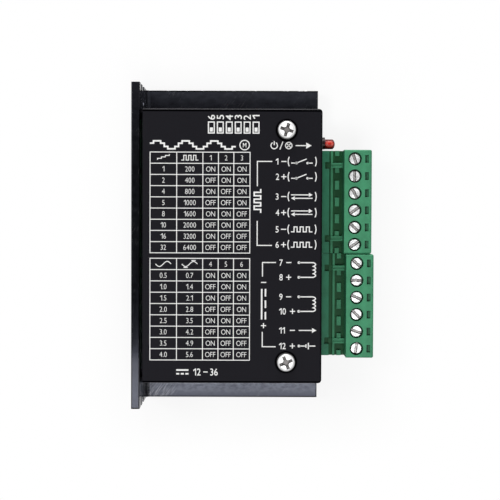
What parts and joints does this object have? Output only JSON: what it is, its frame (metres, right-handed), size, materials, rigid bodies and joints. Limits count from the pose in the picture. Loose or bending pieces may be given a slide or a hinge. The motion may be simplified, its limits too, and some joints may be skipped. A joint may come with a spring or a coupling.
{
  "type": "stepper driver module",
  "caption": "Boxed stepper motor driver on a finned L-shaped heat sink, with a folded black cover, a switch block, a status lamp and pluggable screw terminals.",
  "frame": {"origin": "middle of the heat sink's back face, which its fin tips make", "axes": "+Z from the back face to the printed cover, +Y along the heat sink towards the lamp and switches, +X from the side plate to the terminals"},
  "size_m": [0.0717, 0.096, 0.0349],
  "materials": {
    "anodised_black": "black anodised, satin",
    "cover_black": "fine matt powder coat",
    "bright_steel": "zinc plated, bright",
    "tinned_metal": "tinned",
    "brass": "plain",
    "contact_brass": "tinned brass strip",
    "board_green": "solder-masked glass laminate",
    "nylon_white": "moulded",
    "slider_white": "moulded",
    "pad_grey": "soft silicone",
    "chip_black": "moulded package",
    "capacitor_sleeve": "shrink sleeve",
    "coupler_white": "moulded package",
    "resistor_black": "glazed",
    "passive_tan": "ceramic",
    "print_white": "screen-printed ink",
    "switch_red": "moulded",
    "lamp_red": "diffused red resin",
    "terminal_green": "moulded",
    "header_green": "moulded"
  },
  "bodies": {
    "case": {"heat_sink": "anodised_black", "cover": "cover_black", "cover_screws": "bright_steel", "cover_standoffs": "brass", "board_screws": "bright_steel", "board_spacers": "nylon_white", "circuit_board": "board_green", "thermal_pad": "pad_grey", "driver_chip": "chip_black", "bulk_capacitors": "capacitor_sleeve", "optocouplers": "coupler_white", "regulator": "chip_black", "sense_resistors": "resistor_black", "chip_passives": "passive_tan", "supply_diode": "chip_black", "switch_body": "switch_red", "switch_pins": "tinned_metal", "status_lamp": "lamp_red", "lamp_leads": "tinned_metal", "signal_header": "header_green", "signal_header_pins": "tinned_metal", "power_header": "header_green", "power_header_pins": "tinned_metal"},
    "signal_plug": {"signal_plug": "terminal_green", "signal_plug_contacts": "contact_brass"},
    "power_plug": {"power_plug": "terminal_green", "power_plug_contacts": "contact_brass"},
    "terminal_screw_1": {"terminal_screw_1": "bright_steel"},
    "wire_clamp_1": {"wire_clamp_1": "tinned_metal"},
    "terminal_screw_2": {"terminal_screw_2": "bright_steel"},
    "wire_clamp_2": {"wire_clamp_2": "tinned_metal"},
    "terminal_screw_3": {"terminal_screw_3": "bright_steel"},
    "wire_clamp_3": {"wire_clamp_3": "tinned_metal"},
    "terminal_screw_4": {"terminal_screw_4": "bright_steel"},
    "wire_clamp_4": {"wire_clamp_4": "tinned_metal"},
    "terminal_screw_5": {"terminal_screw_5": "bright_steel"},
    "wire_clamp_5": {"wire_clamp_5": "tinned_metal"},
    "terminal_screw_6": {"terminal_screw_6": "bright_steel"},
    "wire_clamp_6": {"wire_clamp_6": "tinned_metal"},
    "terminal_screw_7": {"terminal_screw_7": "bright_steel"},
    "wire_clamp_7": {"wire_clamp_7": "tinned_metal"},
    "terminal_screw_8": {"terminal_screw_8": "bright_steel"},
    "wire_clamp_8": {"wire_clamp_8": "tinned_metal"},
    "terminal_screw_9": {"terminal_screw_9": "bright_steel"},
    "wire_clamp_9": {"wire_clamp_9": "tinned_metal"},
    "terminal_screw_10": {"terminal_screw_10": "bright_steel"},
    "wire_clamp_10": {"wire_clamp_10": "tinned_metal"},
    "terminal_screw_11": {"terminal_screw_11": "bright_steel"},
    "wire_clamp_11": {"wire_clamp_11": "tinned_metal"},
    "terminal_screw_12": {"terminal_screw_12": "bright_steel"},
    "wire_clamp_12": {"wire_clamp_12": "tinned_metal"},
    "switch_slider_1": {"switch_slider_1": "slider_white"},
    "switch_slider_2": {"switch_slider_2": "slider_white"},
    "switch_slider_3": {"switch_slider_3": "slider_white"},
    "switch_slider_4": {"switch_slider_4": "slider_white"},
    "switch_slider_5": {"switch_slider_5": "slider_white"},
    "switch_slider_6": {"switch_slider_6": "slider_white"}
  },
  "joints": [
    {"name": "signal_plug_pull", "type": "slide", "parent": "case", "child": "signal_plug", "axis": [1, 0, 0], "range_m": [0, 0.012]},
    {"name": "power_plug_pull", "type": "slide", "parent": "case", "child": "power_plug", "axis": [1, 0, 0], "range_m": [-0.0007, 0.012]},
    {"name": "terminal_screw_1_turn", "type": "hinge", "parent": "signal_plug", "child": "terminal_screw_1", "pos_m": [0.03795, 0.0259, 0.0285], "axis": [0, 0, -1], "range_deg": [0, 2090]},
    {"name": "wire_clamp_1_rise", "type": "slide", "parent": "signal_plug", "child": "wire_clamp_1", "axis": [0, 0, 1], "range_m": [0, 0.0029]},
    {"name": "terminal_screw_2_turn", "type": "hinge", "parent": "signal_plug", "child": "terminal_screw_2", "pos_m": [0.03795, 0.02082, 0.0285], "axis": [0, 0, -1], "range_deg": [0, 2090]},
    {"name": "wire_clamp_2_rise", "type": "slide", "parent": "signal_plug", "child": "wire_clamp_2", "axis": [0, 0, 1], "range_m": [0, 0.0029]},
    {"name": "terminal_screw_3_turn", "type": "hinge", "parent": "signal_plug", "child": "terminal_screw_3", "pos_m": [0.03795, 0.01574, 0.0285], "axis": [0, 0, -1], "range_deg": [0, 2090]},
    {"name": "wire_clamp_3_rise", "type": "slide", "parent": "signal_plug", "child": "wire_clamp_3", "axis": [0, 0, 1], "range_m": [0, 0.0029]},
    {"name": "terminal_screw_4_turn", "type": "hinge", "parent": "signal_plug", "child": "terminal_screw_4", "pos_m": [0.03795, 0.01066, 0.0285], "axis": [0, 0, -1], "range_deg": [0, 2090]},
    {"name": "wire_clamp_4_rise", "type": "slide", "parent": "signal_plug", "child": "wire_clamp_4", "axis": [0, 0, 1], "range_m": [0, 0.0029]},
    {"name": "terminal_screw_5_turn", "type": "hinge", "parent": "signal_plug", "child": "terminal_screw_5", "pos_m": [0.03795, 0.00558, 0.0285], "axis": [0, 0, -1], "range_deg": [0, 2090]},
    {"name": "wire_clamp_5_rise", "type": "slide", "parent": "signal_plug", "child": "wire_clamp_5", "axis": [0, 0, 1], "range_m": [0, 0.0029]},
    {"name": "terminal_screw_6_turn", "type": "hinge", "parent": "signal_plug", "child": "terminal_screw_6", "pos_m": [0.03795, 0.0005, 0.0285], "axis": [0, 0, -1], "range_deg": [0, 2090]},
    {"name": "wire_clamp_6_rise", "type": "slide", "parent": "signal_plug", "child": "wire_clamp_6", "axis": [0, 0, 1], "range_m": [0, 0.0029]},
    {"name": "terminal_screw_7_turn", "type": "hinge", "parent": "power_plug", "child": "terminal_screw_7", "pos_m": [0.03865, -0.0051, 0.0285], "axis": [0, 0, -1], "range_deg": [0, 2090]},
    {"name": "wire_clamp_7_rise", "type": "slide", "parent": "power_plug", "child": "wire_clamp_7", "axis": [0, 0, 1], "range_m": [0, 0.0029]},
    {"name": "terminal_screw_8_turn", "type": "hinge", "parent": "power_plug", "child": "terminal_screw_8", "pos_m": [0.03865, -0.01018, 0.0285], "axis": [0, 0, -1], "range_deg": [0, 2090]},
    {"name": "wire_clamp_8_rise", "type": "slide", "parent": "power_plug", "child": "wire_clamp_8", "axis": [0, 0, 1], "range_m": [0, 0.0029]},
    {"name": "terminal_screw_9_turn", "type": "hinge", "parent": "power_plug", "child": "terminal_screw_9", "pos_m": [0.03865, -0.01526, 0.0285], "axis": [0, 0, -1], "range_deg": [0, 2090]},
    {"name": "wire_clamp_9_rise", "type": "slide", "parent": "power_plug", "child": "wire_clamp_9", "axis": [0, 0, 1], "range_m": [0, 0.0029]},
    {"name": "terminal_screw_10_turn", "type": "hinge", "parent": "power_plug", "child": "terminal_screw_10", "pos_m": [0.03865, -0.02034, 0.0285], "axis": [0, 0, -1], "range_deg": [0, 2090]},
    {"name": "wire_clamp_10_rise", "type": "slide", "parent": "power_plug", "child": "wire_clamp_10", "axis": [0, 0, 1], "range_m": [0, 0.0029]},
    {"name": "terminal_screw_11_turn", "type": "hinge", "parent": "power_plug", "child": "terminal_screw_11", "pos_m": [0.03865, -0.02542, 0.0285], "axis": [0, 0, -1], "range_deg": [0, 2090]},
    {"name": "wire_clamp_11_rise", "type": "slide", "parent": "power_plug", "child": "wire_clamp_11", "axis": [0, 0, 1], "range_m": [0, 0.0029]},
    {"name": "terminal_screw_12_turn", "type": "hinge", "parent": "power_plug", "child": "terminal_screw_12", "pos_m": [0.03865, -0.0305, 0.0285], "axis": [0, 0, -1], "range_deg": [0, 2090]},
    {"name": "wire_clamp_12_rise", "type": "slide", "parent": "power_plug", "child": "wire_clamp_12", "axis": [0, 0, 1], "range_m": [0, 0.0029]},
    {"name": "switch_slider_1_slide", "type": "slide", "parent": "case", "child": "switch_slider_1", "axis": [0, 0, 1], "range_m": [0, 0.0018]},
    {"name": "switch_slider_2_slide", "type": "slide", "parent": "case", "child": "switch_slider_2", "axis": [0, 0, 1], "range_m": [0, 0.0018]},
    {"name": "switch_slider_3_slide", "type": "slide", "parent": "case", "child": "switch_slider_3", "axis": [0, 0, 1], "range_m": [0, 0.0018]},
    {"name": "switch_slider_4_slide", "type": "slide", "parent": "case", "child": "switch_slider_4", "axis": [0, 0, 1], "range_m": [0, 0.0018]},
    {"name": "switch_slider_5_slide", "type": "slide", "parent": "case", "child": "switch_slider_5", "axis": [0, 0, 1], "range_m": [0, 0.0018]},
    {"name": "switch_slider_6_slide", "type": "slide", "parent": "case", "child": "switch_slider_6", "axis": [0, 0, 1], "range_m": [0, 0.0018]}
  ],
  "couplings": [
    {"joint": "terminal_screw_1_turn", "follows": "wire_clamp_1_rise", "rad_per_m": 12566},
    {"joint": "terminal_screw_2_turn", "follows": "wire_clamp_2_rise", "rad_per_m": 12566},
    {"joint": "terminal_screw_3_turn", "follows": "wire_clamp_3_rise", "rad_per_m": 12566},
    {"joint": "terminal_screw_4_turn", "follows": "wire_clamp_4_rise", "rad_per_m": 12566},
    {"joint": "terminal_screw_5_turn", "follows": "wire_clamp_5_rise", "rad_per_m": 12566},
    {"joint": "terminal_screw_6_turn", "follows": "wire_clamp_6_rise", "rad_per_m": 12566},
    {"joint": "terminal_screw_7_turn", "follows": "wire_clamp_7_rise", "rad_per_m": 12566},
    {"joint": "terminal_screw_8_turn", "follows": "wire_clamp_8_rise", "rad_per_m": 12566},
    {"joint": "terminal_screw_9_turn", "follows": "wire_clamp_9_rise", "rad_per_m": 12566},
    {"joint": "terminal_screw_10_turn", "follows": "wire_clamp_10_rise", "rad_per_m": 12566},
    {"joint": "terminal_screw_11_turn", "follows": "wire_clamp_11_rise", "rad_per_m": 12566},
    {"joint": "terminal_screw_12_turn", "follows": "wire_clamp_12_rise", "rad_per_m": 12566}
  ]
}
